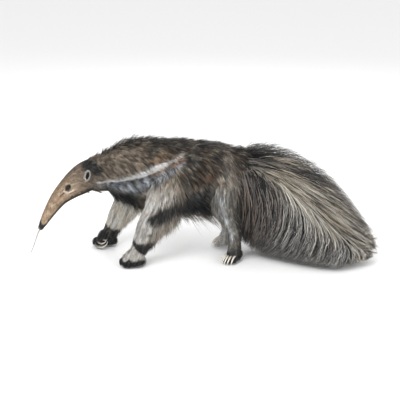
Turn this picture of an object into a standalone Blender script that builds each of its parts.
"""Giant anteater, life size, walking with its tongue out and its tail plume trailing on the ground.

Metres, +Z up. The head points towards -X and the animal's left side towards -Y. The soles stand
on Z = 0, and the origin lies on the ground under the middle of the whole animal.
"""

import math
import random
from typing import NamedTuple

import bmesh
import bpy
import numpy as np
from mathutils import Matrix, Vector
from mathutils.bvhtree import BVHTree

# Clearances and mesh fineness
GAP = 0.0003
PLACE = Vector((0.025, 0.0567, 0.0))
BODY_VOXEL = 0.006
FOOT_VOXEL = 0.0032
BODY_TRIANGLES = 1800
FORE_FOOT_TRIANGLES = 300
HIND_FOOT_TRIANGLES = 280
FLOOR_CLEARANCE = 0.005
ROOT_DEPTH = 0.012


class Girth(NamedTuple):
    """An upright section of the trunk: its place along X, its top, its bottom and its half width."""

    x: float
    top: float
    bottom: float
    half_width: float


class Joint(NamedTuple):
    """A section of a leg: its centre, measured outwards from the midline, and its two half sizes."""

    x: float
    out: float
    z: float
    fore_aft: float
    side: float


class Band(NamedTuple):
    """A section of the head across its bent axis."""

    x: float
    z: float
    half_height: float
    half_width: float


class Bone(NamedTuple):
    """A section of the tail's core: its axis, and the core's reach up, down and sideways from it."""

    x: float
    z: float
    up: float
    down: float
    side: float


class Hang(NamedTuple):
    """An upright section of the tail's plume: its place, its top, its bottom and its half width."""

    x: float
    top: float
    bottom: float
    half_width: float


TRUNK = {
    "nape": Girth(-0.600, 0.495, 0.348, 0.063),
    "neck": Girth(-0.520, 0.538, 0.356, 0.078),
    "neck_base": Girth(-0.420, 0.589, 0.325, 0.100),
    "withers": Girth(-0.320, 0.606, 0.292, 0.122),
    "chest": Girth(-0.200, 0.603, 0.268, 0.134),
    "barrel": Girth(-0.080, 0.597, 0.255, 0.139),
    "loin": Girth(0.030, 0.585, 0.268, 0.132),
    "rump": Girth(0.120, 0.562, 0.318, 0.115),
    "tail_root": Girth(0.200, 0.535, 0.385, 0.088),
}

HEAD = {
    "neck": Band(-0.520, 0.443, 0.0870, 0.078),
    "poll": Band(-0.585, 0.428, 0.0770, 0.063),
    "ears": Band(-0.632, 0.399, 0.0690, 0.057),
    "eyes": Band(-0.680, 0.363, 0.0560, 0.045),
    "cheek": Band(-0.724, 0.322, 0.0435, 0.036),
    "bridge": Band(-0.757, 0.279, 0.0355, 0.030),
    "muzzle": Band(-0.783, 0.239, 0.0290, 0.0255),
    "lips": Band(-0.806, 0.200, 0.0225, 0.0210),
    "tip": Band(-0.825, 0.166, 0.0165, 0.0165),
}

FORELEGS = {
    "left": (
        Joint(-0.185, 0.062, 0.490, 0.085, 0.056),
        Joint(-0.205, 0.110, 0.385, 0.096, 0.062),
        Joint(-0.238, 0.128, 0.290, 0.080, 0.057),
        Joint(-0.290, 0.134, 0.205, 0.062, 0.049),
        Joint(-0.330, 0.135, 0.125, 0.043, 0.039),
        Joint(-0.345, 0.135, 0.070, 0.043, 0.040),
    ),
    "right": (
        Joint(-0.225, 0.062, 0.490, 0.085, 0.056),
        Joint(-0.300, 0.108, 0.385, 0.088, 0.062),
        Joint(-0.362, 0.126, 0.290, 0.072, 0.056),
        Joint(-0.428, 0.136, 0.200, 0.056, 0.048),
        Joint(-0.472, 0.140, 0.120, 0.041, 0.038),
        Joint(-0.487, 0.140, 0.068, 0.042, 0.040),
    ),
}

HIND_LEGS = {
    "left": (
        Joint(0.085, 0.056, 0.480, 0.080, 0.052),
        Joint(0.095, 0.092, 0.400, 0.078, 0.058),
        Joint(0.082, 0.116, 0.318, 0.067, 0.050),
        Joint(0.103, 0.112, 0.235, 0.047, 0.039),
        Joint(0.126, 0.106, 0.160, 0.033, 0.031),
        Joint(0.134, 0.104, 0.060, 0.032, 0.032),
    ),
    "right": (
        Joint(0.075, 0.056, 0.480, 0.080, 0.052),
        Joint(0.068, 0.092, 0.400, 0.078, 0.058),
        Joint(0.058, 0.112, 0.318, 0.067, 0.050),
        Joint(0.083, 0.112, 0.235, 0.047, 0.039),
        Joint(0.108, 0.110, 0.160, 0.033, 0.031),
        Joint(0.120, 0.108, 0.060, 0.032, 0.032),
    ),
}

# The tail is built straight and then swung to the left. Its core stops at half the depth of the
# coat, and the locks carry on to the plume's outline.
TAIL = (
    Bone(0.130, 0.465, 0.070, 0.085, 0.080),
    Bone(0.235, 0.418, 0.098, 0.130, 0.086),
    Bone(0.330, 0.346, 0.112, 0.150, 0.084),
    Bone(0.430, 0.258, 0.112, 0.132, 0.080),
    Bone(0.530, 0.176, 0.098, 0.100, 0.072),
    Bone(0.620, 0.113, 0.070, 0.064, 0.056),
    Bone(0.700, 0.074, 0.034, 0.034, 0.032),
)
PLUME = (
    Hang(0.150, 0.592, 0.330, 0.088),
    Hang(0.188, 0.600, 0.140, 0.102),
    Hang(0.222, 0.608, 0.030, 0.116),
    Hang(0.260, 0.616, 0.008, 0.132),
    Hang(0.356, 0.610, 0.000, 0.160),
    Hang(0.473, 0.566, 0.000, 0.182),
    Hang(0.565, 0.505, 0.000, 0.186),
    Hang(0.655, 0.415, 0.000, 0.166),
    Hang(0.730, 0.308, 0.000, 0.132),
    Hang(0.792, 0.212, 0.000, 0.092),
    Hang(0.836, 0.130, 0.020, 0.048),
)
TAIL_END = (0.812, 0.0, 0.050)
PLUME_WIDEST = 0.32
PLUME_DROOP = 1.15
PLUME_REACH = 0.6
DOME_POWER = 2.3
SKIRT_POWER = 4.0
TAIL_SWING = -0.150
SWING_START = 0.150
SWING_LENGTH = 0.580

SIDES = {"left": -1.0, "right": 1.0}
TURN_OUT = {"left": math.radians(48), "right": math.radians(14)}
LEG_MARGIN = 0.016
WRIST_CUT = 0.112
ANKLE_CUT = 0.100


class Finish(NamedTuple):
    """A plain surface: its colour, roughness and metallic value."""

    color: tuple
    roughness: float
    metallic: float = 0.0


FINISHES = {
    "face_hair": Finish((0.33, 0.25, 0.18), 0.75),
    "neck_hair": Finish((0.12, 0.10, 0.08), 0.85),
    "body_hair": Finish((0.10, 0.09, 0.08), 0.85),
    "foreleg_hair": Finish((0.48, 0.45, 0.42), 0.85),
    "hind_leg_hair": Finish((0.11, 0.10, 0.095), 0.85),
    "tail_hair": Finish((0.13, 0.11, 0.09), 0.85),
    "ear_skin": Finish((0.40, 0.37, 0.34), 0.80),
    "eye": Finish((0.012, 0.009, 0.007), 0.08),
    "claw_horn": Finish((0.20, 0.18, 0.16), 0.40),
    "tongue_skin": Finish((0.45, 0.36, 0.36), 0.35),
}


def material(name):
    """The named finish as a material, made once."""
    found = bpy.data.materials.get(name)
    if found:
        return found
    finish = FINISHES[name]
    made = bpy.data.materials.new(name)
    made.use_nodes = True
    shader = made.node_tree.nodes["Principled BSDF"]
    shader.inputs["Base Color"].default_value = (*finish.color, 1.0)
    shader.inputs["Roughness"].default_value = finish.roughness
    shader.inputs["Metallic"].default_value = finish.metallic
    made.diffuse_color = (*finish.color, 1.0)
    return made


def clear_scene():
    """Removes whatever the scene holds."""
    for obj in list(bpy.data.objects):
        bpy.data.objects.remove(obj)


def mesh_object(name, points, faces):
    """A new object in the scene from points and faces, its faces turned outwards."""
    mesh = bpy.data.meshes.new(name)
    mesh.from_pydata([tuple(p) for p in points], [], [tuple(f) for f in faces])
    work = bmesh.new()
    work.from_mesh(mesh)
    bmesh.ops.recalc_face_normals(work, faces=work.faces)
    work.to_mesh(mesh)
    work.free()
    obj = bpy.data.objects.new(name, mesh)
    bpy.context.scene.collection.objects.link(obj)
    return obj


def apply_modifiers(obj):
    """Keeps what the modifiers make as the object's own mesh."""
    graph = bpy.context.evaluated_depsgraph_get()
    made = bpy.data.meshes.new_from_object(obj.evaluated_get(graph))
    obj.modifiers.clear()
    obj.data = made


def smooth_rows(rows, count):
    """Rows of numbers read evenly along one smooth curve through them. The first three are places."""
    rows = np.array(rows, float)
    steps = np.linalg.norm(np.diff(rows[:, :3], axis=0), axis=1)
    knots = np.concatenate([[0.0], np.cumsum(steps)])
    slopes = np.gradient(rows, knots, axis=0)
    at = np.linspace(0.0, knots[-1], count)
    i = np.clip(np.searchsorted(knots, at, side="right") - 1, 0, len(knots) - 2)
    span = (knots[i + 1] - knots[i])[:, None]
    u = (at - knots[i])[:, None] / span
    return (
        (2 * u**3 - 3 * u**2 + 1) * rows[i]
        + (u**3 - 2 * u**2 + u) * span * slopes[i]
        + (3 * u**2 - 2 * u**3) * rows[i + 1]
        + (u**3 - u**2) * span * slopes[i + 1]
    )


def frames_along(centres, upright=False):
    """For each centre, the unit vectors across the path: one in the XZ plane and one sideways."""
    centres = np.asarray(centres, float)
    tangents = np.gradient(centres, axis=0)
    if upright:
        tangents[:, 1:] = 0.0
    tangents /= np.linalg.norm(tangents, axis=1)[:, None]
    sideways = np.array([0.0, 1.0, 0.0]) - tangents * tangents[:, 1:2]
    sideways /= np.linalg.norm(sideways, axis=1)[:, None]
    return np.cross(tangents, sideways), sideways


def tube_faces(rows, ring):
    """The faces of a tube between its rings. All are triangles, split alike on tubes of any size."""
    faces = []
    for r in range(rows - 1):
        for k in range(ring):
            a, b = r * ring + k, r * ring + (k + 1) % ring
            faces.append((a, b, b + ring))
            faces.append((a, b + ring, a + ring))
    return faces


def loft(name, centres, above, below, half_side, ring, upright=False, power=2.0):
    """A closed tube through the centres. Its rings are ovals with their own reach above and below."""
    up, sideways = frames_along(centres, upright)
    angles = np.linspace(0.0, 2 * math.pi, ring, endpoint=False)
    rise = np.sign(np.cos(angles)) * np.abs(np.cos(angles)) ** (2 / power)
    spread = np.sign(np.sin(angles)) * np.abs(np.sin(angles)) ** (2 / power)
    reach = np.where(rise[None, :] > 0, above[:, None], below[:, None]) * rise[None, :]
    points = (
        centres[:, None, :]
        + up[:, None, :] * reach[:, :, None]
        + sideways[:, None, :] * (half_side[:, None] * spread[None, :])[:, :, None]
    )
    rows = len(centres)
    faces = tube_faces(rows, ring)
    faces.append(tuple(range(ring)))
    faces.append(tuple((rows - 1) * ring + k for k in range(ring)))
    return mesh_object(name, points.reshape(-1, 3), faces)


def ball(name, centre, radii, turn=None, segments=16, rings=10):
    """An ellipsoid with its scale and turn already in its mesh."""
    mesh = bpy.data.meshes.new(name)
    work = bmesh.new()
    bmesh.ops.create_uvsphere(work, u_segments=segments, v_segments=rings, radius=1.0)
    matrix = Matrix.Translation(Vector(centre))
    if turn is not None:
        matrix = matrix @ turn.to_4x4()
    matrix = matrix @ Matrix.Diagonal((*radii, 1.0))
    bmesh.ops.transform(work, matrix=matrix, verts=work.verts)
    work.to_mesh(mesh)
    work.free()
    obj = bpy.data.objects.new(name, mesh)
    bpy.context.scene.collection.objects.link(obj)
    return obj


def block(name, centre, size, turn=None):
    """A box with its size and turn already in its mesh."""
    mesh = bpy.data.meshes.new(name)
    work = bmesh.new()
    bmesh.ops.create_cube(work, size=1.0)
    matrix = Matrix.Translation(Vector(centre))
    if turn is not None:
        matrix = matrix @ turn.to_4x4()
    bmesh.ops.transform(work, matrix=matrix @ Matrix.Diagonal((*size, 1.0)), verts=work.verts)
    work.to_mesh(mesh)
    work.free()
    obj = bpy.data.objects.new(name, mesh)
    bpy.context.scene.collection.objects.link(obj)
    return obj


def keep_largest_surface(obj):
    """Drops loose scraps and sealed hollows, so that the object is one closed surface."""
    work = bmesh.new()
    work.from_mesh(obj.data)
    left = set(work.faces)
    groups = []
    while left:
        start = left.pop()
        group, edge_faces = [start], [start]
        while edge_faces:
            face = edge_faces.pop()
            for edge in face.edges:
                for other in edge.link_faces:
                    if other in left:
                        left.remove(other)
                        group.append(other)
                        edge_faces.append(other)
        groups.append(group)
    groups.sort(key=lambda group: sum(face.calc_area() for face in group))
    dropped = [face for group in groups[:-1] for face in group]
    bmesh.ops.delete(work, geom=dropped, context="FACES")
    work.to_mesh(obj.data)
    work.free()


def boolean(obj, operation, others, solver="EXACT"):
    """Joins the other closed meshes to the object, or takes them from it or all but them."""
    helpers = bpy.data.collections.new("helpers")
    for other in others:
        helpers.objects.link(other)
    change = obj.modifiers.new("change", "BOOLEAN")
    change.operation = operation
    change.operand_type = "COLLECTION"
    change.collection = helpers
    change.solver = solver
    bpy.context.view_layer.update()
    apply_modifiers(obj)
    bpy.data.collections.remove(helpers)
    for other in others:
        bpy.data.objects.remove(other)
    keep_largest_surface(obj)
    merge_level_faces(obj)
    return obj


def merge_level_faces(obj, level=math.radians(0.2)):
    """Merges the slivers that a cut leaves in one plane, and splits the faces into triangles again."""
    work = bmesh.new()
    work.from_mesh(obj.data)
    bmesh.ops.dissolve_limit(work, angle_limit=level, verts=work.verts, edges=work.edges)
    bmesh.ops.triangulate(work, faces=work.faces)
    work.to_mesh(obj.data)
    work.free()


def copy_of(obj, name, grown=0.0):
    """A copy of the object, with each point moved out along its normal."""
    made = bpy.data.objects.new(name, obj.data.copy())
    bpy.context.scene.collection.objects.link(made)
    if grown:
        work = bmesh.new()
        work.from_mesh(made.data)
        work.normal_update()
        shifts = [vert.normal * grown for vert in work.verts]
        for vert, shift in zip(work.verts, shifts):
            vert.co += shift
        work.to_mesh(made.data)
        work.free()
    return made


def rounded(pieces, voxel, smoothing, triangles):
    """Fuses overlapping closed pieces into one rounded skin of about that many triangles."""
    body = boolean(pieces[0], "UNION", pieces[1:])
    remesh = body.modifiers.new("remesh", "REMESH")
    remesh.mode = "VOXEL"
    remesh.voxel_size = voxel
    apply_modifiers(body)
    work = bmesh.new()
    work.from_mesh(body.data)
    for _ in range(smoothing):
        bmesh.ops.smooth_vert(
            work, verts=work.verts, factor=0.5, use_axis_x=True, use_axis_y=True, use_axis_z=True
        )
    count = len(work.faces) * 2
    work.to_mesh(body.data)
    work.free()
    thin = body.modifiers.new("thin", "DECIMATE")
    thin.ratio = triangles / count
    thin.use_collapse_triangulate = True
    apply_modifiers(body)
    keep_largest_surface(body)
    return body


def facing(normal, roll=(0.0, 1.0, 0.0)):
    """A turn whose own +Z is the normal, and whose own +Y leans towards the roll."""
    z = Vector(normal).normalized()
    y = Vector(roll)
    y = (y - z * y.dot(z)).normalized()
    x = y.cross(z)
    return Matrix((x, y, z)).transposed()


class Cut(NamedTuple):
    """A flat cut: a point on it, the direction of the piece that it takes off, and that piece's reach."""

    point: tuple
    towards: tuple
    width: float
    length: float
    depth: float


def region(cut, shrink):
    """The box that a cut takes off, drawn in on every side by a shrink, or let out by a negative one."""
    turn = facing(cut.towards)
    centre = Vector(cut.point) + turn.col[2] * (cut.depth / 2 + shrink)
    return block("region", centre, (cut.width - 2 * shrink, cut.length - 2 * shrink, cut.depth), turn)


def take_off(obj, name, space):
    """Parts the object by a space, with half the gap on each side. It returns the piece inside it."""
    piece = copy_of(obj, name)
    boolean(piece, "INTERSECT", [space(GAP / 2)])
    boolean(obj, "DIFFERENCE", [space(-GAP / 2)])
    return piece


HEAD_CUT = Cut((-0.545, 0.0, 0.440), (-0.940, 0.0, -0.340), 0.40, 0.40, 0.45)
NECK_CUT = Cut((-0.372, 0.0, 0.455), (-0.985, 0.0, 0.170), 0.60, 0.40, 0.45)


def leg_region(joints, side, point, towards, shrink):
    """The space that a leg takes off the body: its own tube let out, below a tilted plane."""
    loose = [
        joint._replace(
            fore_aft=joint.fore_aft + LEG_MARGIN - shrink, side=joint.side + LEG_MARGIN - shrink
        )
        for joint in joints
    ]
    tube = leg_loft("region", loose, side)
    return boolean(tube, "INTERSECT", [region(Cut(point, towards, 1.2, 1.2, 0.9), shrink)])


def foreleg_region(side, shrink):
    """The space of a foreleg. Its plane rises towards the outside and the front."""
    joints = FORELEGS[side]
    point = (joints[1].x, SIDES[side] * joints[1].out, joints[1].z - 0.020)
    return leg_region(joints, side, point, (-0.30, SIDES[side] * 0.50, -0.81), shrink)


def hind_leg_region(side, shrink):
    """The space of a hind leg. Its plane rises towards the outside."""
    joints = HIND_LEGS[side]
    point = (joints[1].x, SIDES[side] * joints[1].out, joints[1].z - 0.010)
    return leg_region(joints, side, point, (0.05, SIDES[side] * 0.60, -0.80), shrink)


def wrist_cut(side):
    """The level cut between a foreleg and its foot."""
    joint = FORELEGS[side][4]
    return Cut((joint.x, SIDES[side] * joint.out, WRIST_CUT), (0, 0, -1), 0.24, 0.20, 0.30)


def ankle_cut(side):
    """The level cut between a hind leg and its foot."""
    joint = HIND_LEGS[side][5]
    return Cut((joint.x, SIDES[side] * joint.out, ANKLE_CUT), (0, 0, -1), 0.20, 0.18, 0.30)


def trunk_loft(rings=34, ring=28):
    """The neck and the barrel of the body, as one tube of upright ovals."""
    girths = TRUNK.values()
    rows = [(g.x, 0.0, (g.top + g.bottom) / 2, (g.top - g.bottom) / 2, g.half_width) for g in girths]
    rows = smooth_rows(rows, rings)
    return loft("trunk", rows[:, :3], rows[:, 3], rows[:, 3], rows[:, 4], ring, upright=True, power=2.15)


def leg_loft(name, joints, side, rings=18, ring=20):
    """One leg as a tube through its joints."""
    sign = SIDES[side]
    rows = smooth_rows([(j.x, sign * j.out, j.z, j.fore_aft, j.side) for j in joints], rings)
    return loft(name, rows[:, :3], rows[:, 3], rows[:, 3], rows[:, 4], ring)


def head_rows(rings):
    """The head's sections read evenly along its bent axis."""
    rows = [(b.x, 0.0, b.z, b.half_height, b.half_width) for b in HEAD.values()]
    return smooth_rows(rows, rings)


def head_loft(name, rings=18, ring=16):
    """The head from the neck to the rounded end of the muzzle."""
    rows = head_rows(rings)
    tip = rows[-1]
    along = tip[:3] - rows[-2][:3]
    along /= np.linalg.norm(along)
    cap = []
    for turn in (0.35, 0.65, 0.88):
        angle = turn * math.pi / 2
        cap.append(tip * [1, 1, 1, math.cos(angle), math.cos(angle)])
        cap[-1][:3] += along * math.sin(angle) * tip[3] * 0.8
    rows = np.vstack([rows, cap])
    return loft(name, rows[:, :3], rows[:, 3], rows[:, 3], rows[:, 4], ring, power=2.1)


def tail_rows(rings):
    """The tail's sections read evenly along its axis."""
    return smooth_rows([(b.x, 0.0, b.z, b.up, b.down, b.side) for b in TAIL], rings)


def tail_line():
    """The tail's axis, carried on past the core to the plume's end."""
    axis = tail_rows(60)[:, :3]
    return np.vstack([axis, np.linspace(axis[-1], TAIL_END, 12)[1:]])


def tail_core(rings=15, ring=12):
    """The tail's core from the rump to its blunt end, at half the depth of the coat."""
    rows = tail_rows(rings)
    return loft("tail", rows[:, :3], rows[:, 3], rows[:, 4], rows[:, 5], ring)


def swing_tail(obj):
    """Swings the straight tail to the left, more and more towards its end."""
    for vert in obj.data.vertices:
        share = min(1.0, max(0.0, (vert.co.x - SWING_START) / SWING_LENGTH))
        vert.co.y += TAIL_SWING * share * share * (3.0 - 2.0 * share)


def plume_share(point):
    """How far out a point lies in the plume: 0 on its middle line and 1 on the outline of its tips.

    A section is a dome above its widest height, and falls almost straight to the ground below it.
    """
    table = np.array(PLUME)
    top, bottom, half_width = (np.interp(point[0], table[:, 0], table[:, k]) for k in range(1, 4))
    middle = bottom + PLUME_WIDEST * (top - bottom)
    rise = point[2] - middle
    power = DOME_POWER if rise > 0 else SKIRT_POWER
    across = abs(point[1]) / half_width
    along = rise / (top - middle) if rise > 0 else -rise / (middle - bottom)
    behind = max(0.0, point[0] - table[-2, 0]) / (table[-1, 0] - table[-2, 0])
    return (across**power + along**power + behind**power) ** (1 / power)


def plume_edge(start, direction):
    """The point where a ray from inside the plume meets its outline."""
    near, far = 0.0, PLUME_REACH
    for _ in range(14):
        middle = (near + far) / 2
        if plume_share(start + direction * middle) < 1.0:
            near = middle
        else:
            far = middle
    return start + direction * near


def build_body():
    """Torso, neck and legs as one rounded skin, parted by flat cuts."""
    pieces = [trunk_loft(), head_loft("head_core"), tail_stub()]
    for side in SIDES:
        pieces.append(leg_loft("foreleg_core", FORELEGS[side], side))
        pieces.append(leg_loft("hind_leg_core", HIND_LEGS[side], side))
    torso = rounded(pieces, BODY_VOXEL, 14, BODY_TRIANGLES)
    torso.name = "torso"
    made = {"torso": torso}
    boolean(torso, "DIFFERENCE", [region(HEAD_CUT, -GAP / 2)])
    for side in SIDES:
        foreleg = take_off(torso, f"foreleg_{side}", lambda shrink: foreleg_region(side, shrink))
        hind_leg = take_off(torso, f"hind_leg_{side}", lambda shrink: hind_leg_region(side, shrink))
        boolean(foreleg, "DIFFERENCE", [region(wrist_cut(side), -GAP / 2)])
        boolean(hind_leg, "DIFFERENCE", [region(ankle_cut(side), -GAP / 2)])
        made[foreleg.name] = foreleg
        made[hind_leg.name] = hind_leg
    made["neck"] = take_off(torso, "neck", lambda shrink: region(NECK_CUT, shrink))
    return made


TAIL_CUT = Cut((0.186, 0.0, 0.450), (1.0, 0.0, 0.0), 0.80, 1.20, 0.90)


def tail_stub():
    """The first stretch of the tail inside the rump."""
    rows = tail_rows(40)[:6]
    return loft("tail_stub", rows[:, :3], rows[:, 3], rows[:, 4], rows[:, 5], 20)


class Digit(NamedTuple):
    """A fore toe: its knuckle's place and radius, and its claw's root radius and route.

    Places are ahead of the wrist, outwards from its middle and above the ground.
    """

    knuckle: tuple
    radius: float
    claw_root: float
    claw_route: tuple


FORE_DIGITS = (
    Digit(
        (0.036, -0.033, 0.054), 0.014, 0.0045,
        ((0.038, -0.036, 0.054), (0.032, -0.047, 0.053), (0.022, -0.051, 0.054), (0.012, -0.050, 0.058)),
    ),
    Digit(
        (0.057, -0.021, 0.041), 0.020, 0.0085,
        ((0.060, -0.030, 0.041), (0.057, -0.045, 0.038), (0.043, -0.055, 0.037),
         (0.027, -0.055, 0.043), (0.018, -0.048, 0.055)),
    ),
    Digit(
        (0.066, 0.004, 0.028), 0.025, 0.0098,
        ((0.071, -0.008, 0.026), (0.073, -0.028, 0.019), (0.060, -0.046, 0.0145),
         (0.038, -0.055, 0.018), (0.020, -0.053, 0.030), (0.011, -0.044, 0.046)),
    ),
    Digit(
        (0.052, 0.029, 0.023), 0.021, 0.0045,
        ((0.060, 0.026, 0.018), (0.074, 0.024, 0.012), (0.083, 0.019, 0.009), (0.089, 0.012, 0.0075)),
    ),
)
HIND_TOES = 5
HIND_TOE_RADIUS = 0.0125
HIND_CLAW = 0.030
HIND_CLAW_ROOT = 0.0052


def horn(name, path, radii, ring=6):
    """A tapered, curved claw that ends in a point."""
    path = np.asarray(path, float)
    tangents = np.gradient(path, axis=0)
    tangents /= np.linalg.norm(tangents, axis=1)[:, None]
    start = np.cross(tangents[0], [0.0, 0.0, 1.0])
    if np.linalg.norm(start) < 0.1:
        start = np.cross(tangents[0], [1.0, 0.0, 0.0])
    points, across = [], start / np.linalg.norm(start)
    for centre, tangent, radius in zip(path[:-1], tangents[:-1], radii):
        across = across - tangent * (across @ tangent)
        across /= np.linalg.norm(across)
        other = np.cross(tangent, across)
        for k in range(ring):
            angle = 2 * math.pi * k / ring
            points.append(centre + radius * (across * math.cos(angle) + other * math.sin(angle) * 0.8))
    rows = len(path) - 1
    points.append(path[-1])
    faces = tube_faces(rows, ring)
    faces += [((rows - 1) * ring + k, (rows - 1) * ring + (k + 1) % ring, rows * ring) for k in range(ring)]
    faces.append(tuple(range(ring)))
    return mesh_object(name, points, faces)


def fore_point(side, ahead, out, rise):
    """A point of a fore foot from its distances ahead of the wrist, outwards and above the ground."""
    joint = FORELEGS[side][5]
    return Vector((joint.x - ahead, SIDES[side] * (joint.out + out), rise))


def curled_claw(name, side, digit, steps=7):
    """A fore claw that leaves its knuckle and curls back along the inner side of the foot."""
    path = smooth_rows([fore_point(side, *place) for place in digit.claw_route], steps)
    taper = np.linspace(1.0, 0.28, steps)
    return horn(name, path, digit.claw_root * taper)


def fore_foot(side):
    """A fore foot as a fist: palm, outer pad and knuckles, cut level at the wrist and the sole."""
    wrist = leg_loft("wrist", FORELEGS[side][3:], side, rings=8)
    pieces = [
        wrist,
        ball("palm", fore_point(side, 0.016, 0.002, 0.052), (0.050, 0.043, 0.046)),
        ball("pad", fore_point(side, 0.018, 0.014, 0.024), (0.052, 0.034, 0.030)),
        ball("heel", fore_point(side, -0.010, 0.004, 0.030), (0.030, 0.032, 0.030)),
    ]
    for digit in FORE_DIGITS:
        ahead, out, rise = digit.knuckle
        at = fore_point(side, ahead, out, rise)
        root = fore_point(side, ahead * 0.45, out * 0.8, rise + 0.014)
        pieces.append(ball("knuckle", at, (digit.radius * 1.1, digit.radius * 0.85, digit.radius)))
        pieces.append(finger("finger", root, at, digit.radius * 0.85))
    foot = rounded(pieces, FOOT_VOXEL, 3, FORE_FOOT_TRIANGLES)
    foot.name = f"fore_foot_{side}"
    boolean(foot, "INTERSECT", [region(wrist_cut(side), GAP / 2)])
    level_sole(foot)
    return foot


def finger(name, start, end, radius):
    """A short round bar between two points."""
    path = np.linspace(start, end, 3)
    reach = np.full(3, radius)
    return loft(name, path + np.array([[0, 1e-5, 0], [0, 0, 0], [0, -1e-5, 0]]), reach, reach, reach, 12)


def level_sole(foot):
    """Cuts the foot level on the ground, which gives it flats to stand on."""
    boolean(foot, "DIFFERENCE", [block("ground", (0.0, 0.0, -0.05), (3.0, 3.0, 0.1))])


def hind_turn(side):
    """The turn of a hind foot about the upright line of its ankle."""
    return Matrix.Rotation(-SIDES[side] * TURN_OUT[side], 3, "Z")


def hind_point(side, ahead, out, rise):
    """A point of a hind foot, turned out about the ankle."""
    joint = HIND_LEGS[side][5]
    flat = hind_turn(side) @ Vector((-ahead, SIDES[side] * out, 0.0))
    return Vector((joint.x + flat.x, SIDES[side] * joint.out + flat.y, rise))


def toe_spread(k):
    """How far out the toe k lies, from -1 for the innermost to 1 for the outermost."""
    return 2 * k / (HIND_TOES - 1) - 1


def toe_reach(k):
    """How far ahead of the ankle a hind toe ends: the middle ones go furthest."""
    return 0.070 - 0.016 * toe_spread(k) ** 2


def hind_foot(side):
    """A hind foot that stands on its whole sole, with five toes."""
    turn = hind_turn(side)
    pieces = [
        leg_loft("ankle", HIND_LEGS[side][4:], side, rings=8),
        ball("heel", hind_point(side, -0.022, 0.0, 0.030), (0.036, 0.029, 0.034), turn),
        ball("sole", hind_point(side, 0.016, 0.003, 0.024), (0.050, 0.036, 0.030), turn),
        ball("instep", hind_point(side, 0.010, 0.0, 0.050), (0.036, 0.030, 0.034), turn),
    ]
    for k in range(HIND_TOES):
        out = 0.027 * toe_spread(k)
        root = hind_point(side, 0.030, out * 0.8, 0.024)
        end = hind_point(side, toe_reach(k) - HIND_TOE_RADIUS, out, HIND_TOE_RADIUS * 0.95)
        pieces.append(finger("toe", root, end, HIND_TOE_RADIUS))
        size = (HIND_TOE_RADIUS * 1.15, HIND_TOE_RADIUS, HIND_TOE_RADIUS)
        pieces.append(ball("toe_end", end, size, turn))
    foot = rounded(pieces, FOOT_VOXEL, 2, HIND_FOOT_TRIANGLES)
    foot.name = f"hind_foot_{side}"
    boolean(foot, "INTERSECT", [region(ankle_cut(side), GAP / 2)])
    level_sole(foot)
    return foot


def hind_claw(name, side, k, steps=5):
    """A short hind claw that curves forwards and down from its toe."""
    out = 0.027 * toe_spread(k)
    ahead = toe_reach(k) - HIND_TOE_RADIUS * 0.9
    path = []
    for step in range(steps):
        share = step / (steps - 1)
        drop = 0.0135 * share**2
        path.append(hind_point(side, ahead + HIND_CLAW * share, out * (1 + 0.12 * share), 0.0185 - drop))
    return horn(name, path, HIND_CLAW_ROOT * np.linspace(1.0, 0.35, steps))


def build_feet():
    """The four feet and their claws. Each claw meets its foot face to face and clears the last claw."""
    made = {}
    for side in SIDES:
        fore, hind = fore_foot(side), hind_foot(side)
        claws = [curled_claw(f"fore_claw_{side}_{k + 1}", side, d) for k, d in enumerate(FORE_DIGITS)]
        seat_claws(fore, claws)
        toes = [hind_claw(f"hind_claw_{side}_{k + 1}", side, k) for k in range(HIND_TOES)]
        seat_claws(hind, toes)
        made.update({obj.name: obj for obj in (fore, hind, *claws, *toes)})
    return made


def seat_claws(foot, claws):
    """Cuts each claw clear of its foot and of the claw before it, by the gap."""
    last = foot
    for claw in claws:
        boolean(claw, "DIFFERENCE", [copy_of(foot, "cutter", GAP)])
        if last is not foot:
            boolean(claw, "DIFFERENCE", [copy_of(last, "cutter", GAP)])
        last = claw


# Eyes, ears, nostrils, mouth and tongue, each measured outwards from the midline
EYE = (-0.676, 0.0370, 0.386)
EYE_RADIUS = 0.0095
EYE_SIDES = (10, 7)
LID_RADIUS = 0.0135
EYE_OPENING = (0.0100, 0.0058)
EAR_ROOT = (-0.588, 0.052, 0.436)
EAR_LENGTH = 0.050
EAR_WIDTH = 0.034
EAR_THICKNESS = 0.016
EAR_LEAN = (0.30, 0.42, 0.86)
NOSTRIL_OUT = 0.0068
TONGUE_ROUTE = (
    (-0.822, 0.0, 0.166),
    (-0.836, 0.0, 0.146),
    (-0.850, 0.0, 0.112),
    (-0.866, 0.0, 0.068),
    (-0.884, 0.0, 0.026),
)
TONGUE_ROOT_RADIUS = 0.0042
TONGUE_TIP_RADIUS = 0.0020


def mirrored(point, side):
    """A point measured outwards from the midline, on the given side."""
    return Vector((point[0], SIDES[side] * point[1], point[2]))


def muzzle_direction():
    """The way that the muzzle points at its end."""
    lips, tip = HEAD["lips"], HEAD["tip"]
    return Vector((tip.x - lips.x, 0.0, tip.z - lips.z)).normalized()


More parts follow.
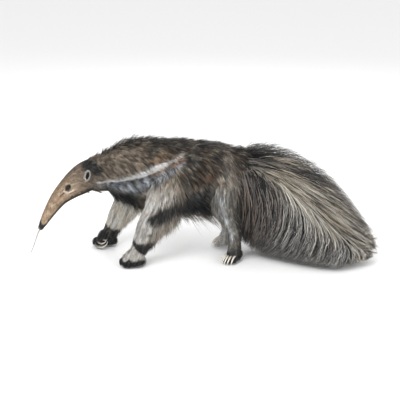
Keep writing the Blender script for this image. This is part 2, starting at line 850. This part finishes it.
def build_head():
    """The head with its lids, nostrils and mouth, and the eyes, ears and tongue as their own pieces."""
    head = head_loft("head")
    boolean(head, "INTERSECT", [region(HEAD_CUT, GAP / 2)])
    made = {"head": head}
    along = muzzle_direction()
    upward = Vector((-along.z, 0.0, along.x)) * -1.0
    tip = Vector((HEAD["tip"].x, 0.0, HEAD["tip"].z)) + along * HEAD["tip"].half_height * 0.7
    slant = facing((0.0, 1.0, 0.0), along)
    lids, cutters = [], []
    for side in SIDES:
        eye = mirrored(EYE, side)
        bulge = (LID_RADIUS, LID_RADIUS * 0.86, LID_RADIUS * 0.92)
        lids.append(ball("lid", eye, bulge, segments=12, rings=8))
        outward = Vector((-0.15, SIDES[side], 0.10)).normalized()
        turn = facing(outward, (0.62, 0.0, 0.78))
        opening = eye + outward * LID_RADIUS
        slit = (EYE_OPENING[1], EYE_OPENING[0], 0.0125)
        cutters.append(ball("slit", opening, slit, turn, segments=10, rings=6))
        cutters.append(ball("socket", eye, (EYE_RADIUS + GAP,) * 3, None, *EYE_SIDES))
        nostril = tip + Vector((0.0, SIDES[side] * NOSTRIL_OUT, 0.0)) + upward * 0.004
        cutters.append(ball("nostril", nostril, (0.0024, 0.0050, 0.0024), slant, segments=8, rings=6))
    boolean(head, "UNION", lids)
    mouth = tip - upward * 0.0065 - along * 0.008
    cutters.append(ball("mouth", mouth, (0.0016, 0.0150, 0.0165), slant, segments=12, rings=6))
    boolean(head, "DIFFERENCE", cutters)
    for side in SIDES:
        made[f"eye_{side}"] = ball(f"eye_{side}", mirrored(EYE, side), (EYE_RADIUS,) * 3, None, *EYE_SIDES)
    tongue = build_tongue()
    groove = copy_of(tongue, "cutter", GAP)
    boolean(head, "DIFFERENCE", [groove])
    made["tongue"] = tongue
    for side in SIDES:
        ear = build_ear(side)
        boolean(ear, "DIFFERENCE", [copy_of(head, "cutter", GAP)])
        made[ear.name] = ear
    return made


def build_tongue():
    """The long thin tongue, from inside the mouth down to just above the ground."""
    rows = smooth_rows(TONGUE_ROUTE, 9)
    return horn("tongue", rows, np.linspace(TONGUE_ROOT_RADIUS, TONGUE_TIP_RADIUS, len(rows)))


def build_ear(side):
    """A small rounded ear with an open cup that faces forwards and out."""
    lean = Vector((EAR_LEAN[0], SIDES[side] * EAR_LEAN[1], EAR_LEAN[2])).normalized()
    root = mirrored(EAR_ROOT, side)
    face = Vector((-0.62, SIDES[side] * 0.78, 0.0))
    turn = facing(face, lean)
    centre = root + lean * EAR_LENGTH * 0.42
    size = (EAR_WIDTH / 2, EAR_LENGTH / 2, EAR_THICKNESS / 2)
    ear = ball(f"ear_{side}", centre, size, turn, 12, 9)
    cup = centre + turn.col[2] * EAR_THICKNESS * 0.42
    room = (EAR_WIDTH * 0.36, EAR_LENGTH * 0.38, EAR_THICKNESS * 0.58)
    hollow = ball("hollow", cup, room, turn, 10, 8)
    return boolean(ear, "DIFFERENCE", [hollow])


class Lock(NamedTuple):
    """A kind of lock: its length, its half width and thickness, its lift off the skin and its sag."""

    length: float
    half_width: float
    half_thickness: float
    lift: float
    sag: float


CREST_LOCK = Lock(0.105, 0.023, 0.0060, math.radians(19), 0.05)
NECK_LOCK = Lock(0.085, 0.020, 0.0055, math.radians(17), 0.06)
BELLY_LOCK = Lock(0.075, 0.022, 0.0055, math.radians(30), 0.14)
ELBOW_LOCK = Lock(0.062, 0.019, 0.0050, math.radians(24), 0.00)
THIGH_LOCK = Lock(0.055, 0.017, 0.0045, math.radians(18), 0.00)
TAIL_LOCK = Lock(0.255, 0.037, 0.0075, 0.0, 0.0)
CURTAIN_LOCK = Lock(0.200, 0.026, 0.0070, 0.0, 0.0)
LOCK_TAPER = (0.75, 1.00, 0.86, 0.50)
LOCK_LENGTH_SPREAD = 0.14
WALK = 0.012

# Where the locks grow
NECK_CREST = (-0.545, -0.435)
BACK_CREST = (-0.325, 0.100)
CREST_STEP = 0.052
CREST_ROWS = (0.0, 0.038, -0.038)
CREST_GROWS_FROM = -0.600
CREST_GROWS_OVER = 0.180
BELLY_START = -0.170
BELLY_STEP = 0.036
BELLY_COUNT = 5
ELBOW_HEIGHTS = (0.155, 0.186, 0.218, 0.249, 0.280)
THIGH_HEIGHTS = (0.200, 0.233, 0.267, 0.300)
CURTAIN_PLACES = (0.222, 0.255, 0.290)
CURTAIN_ROWS = (-0.062, -0.021, 0.021, 0.062)
CURTAIN_END = 0.060
TAIL_STATIONS = 8
TAIL_ROUND = 10
TAIL_LOWEST_ROOT = 0.085
TAIL_ROOT_MARGIN = 0.012
BEND = 0.36


def lock_mesh(path, kind, across):
    """A flat lock of hair along a path. It is widest near its root and tapers to its tip."""
    path = [Vector(point) for point in path]
    points, across = [], Vector(across)
    for k, taper in enumerate(LOCK_TAPER):
        tangent = (path[k + 1] - path[max(k - 1, 0)]).normalized()
        side = (across - tangent * across.dot(tangent)).normalized()
        face = tangent.cross(side)
        wide, thick = side * kind.half_width * taper, face * kind.half_thickness * taper
        points += [path[k] + wide, path[k] + thick, path[k] - wide, path[k] - thick]
    rows = len(LOCK_TAPER)
    points.append(path[rows])
    faces = tube_faces(rows, 4)
    last = (rows - 1) * 4
    faces += [(last + k, last + (k + 1) % 4, rows * 4) for k in range(4)]
    faces.append((0, 1, 2, 3))
    return mesh_object("lock", points, faces)


def read_path(walk):
    """The rings' places, read evenly along a walk."""
    at = np.linspace(0, len(walk) - 1, len(LOCK_TAPER) + 1)
    walk = np.array(walk)
    return np.stack([np.interp(at, range(len(walk)), walk[:, k]) for k in range(3)], axis=1)


def hang(start, direction, sag, length):
    """The path of a lock that sets off in a direction and sags."""
    walk, heading = [Vector(start)], Vector(direction).normalized()
    for _ in range(int(length / WALK) + 1):
        heading = (heading + Vector((0.0, 0.0, -sag)) * WALK / 0.05).normalized()
        walk.append(walk[-1] + heading * WALK)
    return read_path(walk)


def bent(start, leave, end, arrive, steps=9):
    """Points along a curve that leaves its start in one direction and arrives at its end in another."""
    reach = (end - start).length * BEND
    first, second = start + leave * reach, end - arrive * reach
    points = []
    for share in np.linspace(0.0, 1.0, steps):
        rest = 1.0 - share
        near = start * rest**3 + first * (3 * rest**2 * share)
        points.append(near + second * (3 * rest * share**2) + end * share**3)
    return points


def plume_path(place, radial, station, hanging, length):
    """The path of a tail lock, from the core out to the plume's outline.

    Its tip lies on the outline, further down the tail, at about the lock's length from its root. It
    leaves the core outwards and bends into the lie of the outline, clear of the ground.
    """
    axis = tail_line()
    fan = radial * (1.0 - 0.5 * hanging) + Vector((0.0, 0.0, -PLUME_DROOP * hanging))
    fan.normalize()
    tip = last = place
    for point in axis[axis[:, 0] > station.x]:
        last, tip = tip, plume_edge(Vector(point), fan)
        if (tip - place).length > length:
            break
    straight = (tip - place).normalized()
    outline = Vector(axis[-1] - axis[-8]).normalized() * 0.2 + (tip - last).normalized() * 0.3
    leave = (fan * 0.75 + straight * 0.65).normalized()
    arrive = (outline + straight * 0.5).normalized()
    root = place - radial * ROOT_DEPTH * 1.4 - leave * ROOT_DEPTH
    path = [root, *bent(place, leave, tip, arrive)]
    for point in path:
        point.z = max(point.z, FLOOR_CLEARANCE + TAIL_LOCK.half_thickness / 2)
    return read_path(path)


def skin_tree(obj):
    """A search tree of the object's surface."""
    return BVHTree.FromPolygons([v.co for v in obj.data.vertices], [p.vertices for p in obj.data.polygons])


def surface_lock(tree, origin, ray, lie, kind, scale):
    """A lock that grows where a ray meets the skin and follows the lie, or None where it misses."""
    place, normal, _, _ = tree.ray_cast(Vector(origin), Vector(ray))
    if place is None:
        return None
    lie = Vector(lie)
    along = (lie - normal * lie.dot(normal)).normalized()
    heading = along * math.cos(kind.lift) + normal * math.sin(kind.lift)
    path = hang(place - heading * ROOT_DEPTH, heading, kind.sag, kind.length * scale)
    return lock_mesh(path, kind, normal.cross(along))


def varied(draw):
    """A lock's own scale, a little longer or shorter than its kind."""
    return 1.0 + draw.uniform(-1, 1) * LOCK_LENGTH_SPREAD


def crest_locks(tree, kind, start, end, draw):
    """The crest of the neck or back: staggered rows of locks that lean back."""
    locks = []
    for row, out in enumerate(CREST_ROWS):
        x = start + (CREST_STEP / 2 if row else 0.0)
        while x < end:
            grown = min(1.0, (x - CREST_GROWS_FROM) / CREST_GROWS_OVER)
            lie = (1.0, out * 3.0 + draw.uniform(-0.1, 0.1), 0.0)
            scale = varied(draw) * (0.6 + 0.4 * grown)
            locks.append(surface_lock(tree, (x, out, 1.0), (0, 0, -1), lie, kind, scale))
            x += CREST_STEP * (1.0 if row == 0 else 1.5)
    return [lock for lock in locks if lock]


def belly_locks(tree, draw):
    """The fringe under the belly, which hangs and leans back."""
    locks = []
    for sign in SIDES.values():
        for k in range(BELLY_COUNT):
            origin = (BELLY_START + BELLY_STEP * k, sign * (0.022 + 0.026 * (k % 2)), -0.5)
            lie = (1.0, sign * 0.12, 0.0)
            locks.append(surface_lock(tree, origin, (0, 0, 1), lie, BELLY_LOCK, varied(draw)))
    return [lock for lock in locks if lock]


def leg_locks(leg, joints, side, heights, kind, draw):
    """Grows the fringe along the back of a leg."""
    tree = skin_tree(leg)
    ordered = sorted(joints, key=lambda joint: joint.z)
    locks = []
    for k, height in enumerate(heights):
        out = np.interp(height, [j.z for j in ordered], [j.out for j in ordered])
        y = SIDES[side] * (out + (0.014 if k % 2 else -0.010))
        lie = (0.0, 0.0, -1.0)
        locks.append(surface_lock(tree, (0.5, y, height), (-1, 0, 0), lie, kind, varied(draw)))
    boolean(leg, "UNION", [lock for lock in locks if lock])


def tail_locks(tree, draw):
    """The locks of the tail, in staggered rings along its axis."""
    rows = tail_rows(TAIL_STATIONS + 2)
    up, sideways = frames_along(rows[:, :3])
    locks = []
    for station in range(1, TAIL_STATIONS + 1):
        centre = Vector(rows[station, :3])
        for k in range(TAIL_ROUND):
            angle = 2 * math.pi * (k + 0.5 * (station % 2)) / TAIL_ROUND
            radial = Vector(up[station]) * math.cos(angle) + Vector(sideways[station]) * math.sin(angle)
            place = tree.ray_cast(centre, radial)[0]
            if place.x < TAIL_CUT.point[0] + TAIL_ROOT_MARGIN or place.z < TAIL_LOWEST_ROOT:
                continue
            hanging = min(1.0, 0.85 * (1.0 - math.cos(angle)))
            path = plume_path(place, radial, centre, hanging, TAIL_LOCK.length * varied(draw))
            locks.append(lock_mesh(path, TAIL_LOCK, Vector(path[3] - path[1]).cross(radial)))
    return locks


def curtain_locks(tree, draw):
    """The hair that hangs down behind the hind legs, from under the root of the tail."""
    locks = []
    for k, x in enumerate(CURTAIN_PLACES):
        for out in CURTAIN_ROWS:
            y = out + (0.010 if k % 2 else -0.010)
            place = tree.ray_cast(Vector((x, y, -0.5)), Vector((0, 0, 1)))[0]
            heading = Vector((0.16, out * 0.8, -1.0)).normalized()
            drop = place.z - CURTAIN_END * varied(draw)
            path = hang(place - heading * ROOT_DEPTH, heading, CURTAIN_LOCK.sag, drop)
            locks.append(lock_mesh(path, CURTAIN_LOCK, (1.0, 0.0, 0.0)))
    return locks


def build_coat(made):
    """Grows the long locks of the neck, back, belly and legs, each fused into the node it grows from."""
    draw = random.Random(11)
    neck, torso = made["neck"], made["torso"]
    boolean(neck, "UNION", crest_locks(skin_tree(neck), NECK_LOCK, *NECK_CREST, draw))
    tree = skin_tree(torso)
    boolean(torso, "UNION", crest_locks(tree, CREST_LOCK, *BACK_CREST, draw) + belly_locks(tree, draw))
    for side in SIDES:
        leg_locks(made[f"foreleg_{side}"], FORELEGS[side], side, ELBOW_HEIGHTS, ELBOW_LOCK, draw)
        leg_locks(made[f"hind_leg_{side}"], HIND_LEGS[side], side, THIGH_HEIGHTS, THIGH_LOCK, draw)


def build_tail():
    """The tail: its core from the root at the rump, with the plume's locks fused to it."""
    draw = random.Random(7)
    tail = tail_core()
    boolean(tail, "INTERSECT", [region(TAIL_CUT, GAP / 2)])
    tree = skin_tree(tail)
    boolean(tail, "UNION", tail_locks(tree, draw) + curtain_locks(tree, draw))
    boolean(tail, "INTERSECT", [region(TAIL_CUT, GAP / 2)])
    swing_tail(tail)
    return {"tail": tail}


NODE_FINISH = {
    "head": "face_hair",
    "ear": "ear_skin",
    "eye": "eye",
    "tongue": "tongue_skin",
    "neck": "neck_hair",
    "torso": "body_hair",
    "foreleg": "foreleg_hair",
    "fore_foot": "foreleg_hair",
    "hind_leg": "hind_leg_hair",
    "hind_foot": "hind_leg_hair",
    "fore_claw": "claw_horn",
    "hind_claw": "claw_horn",
    "tail": "tail_hair",
}


def finish_of(name):
    """The finish of a node, by the longest prefix that names it."""
    prefixes = [prefix for prefix in NODE_FINISH if name.startswith(prefix)]
    return NODE_FINISH[max(prefixes, key=len)]


def main():
    """Builds every piece, dresses it and sets the whole animal on its origin."""
    clear_scene()
    made = build_body()
    boolean(made["torso"], "DIFFERENCE", [region(TAIL_CUT, -GAP / 2)])
    build_coat(made)
    made.update(build_head())
    made.update(build_feet())
    made.update(build_tail())
    for name, obj in made.items():
        obj.name = name
        obj.data.transform(Matrix.Translation(PLACE))
        obj.data.materials.clear()
        obj.data.materials.append(material(finish_of(name)))
        obj.data.shade_smooth()
        obj.data.set_sharp_from_angle(angle=math.radians(50))


main()
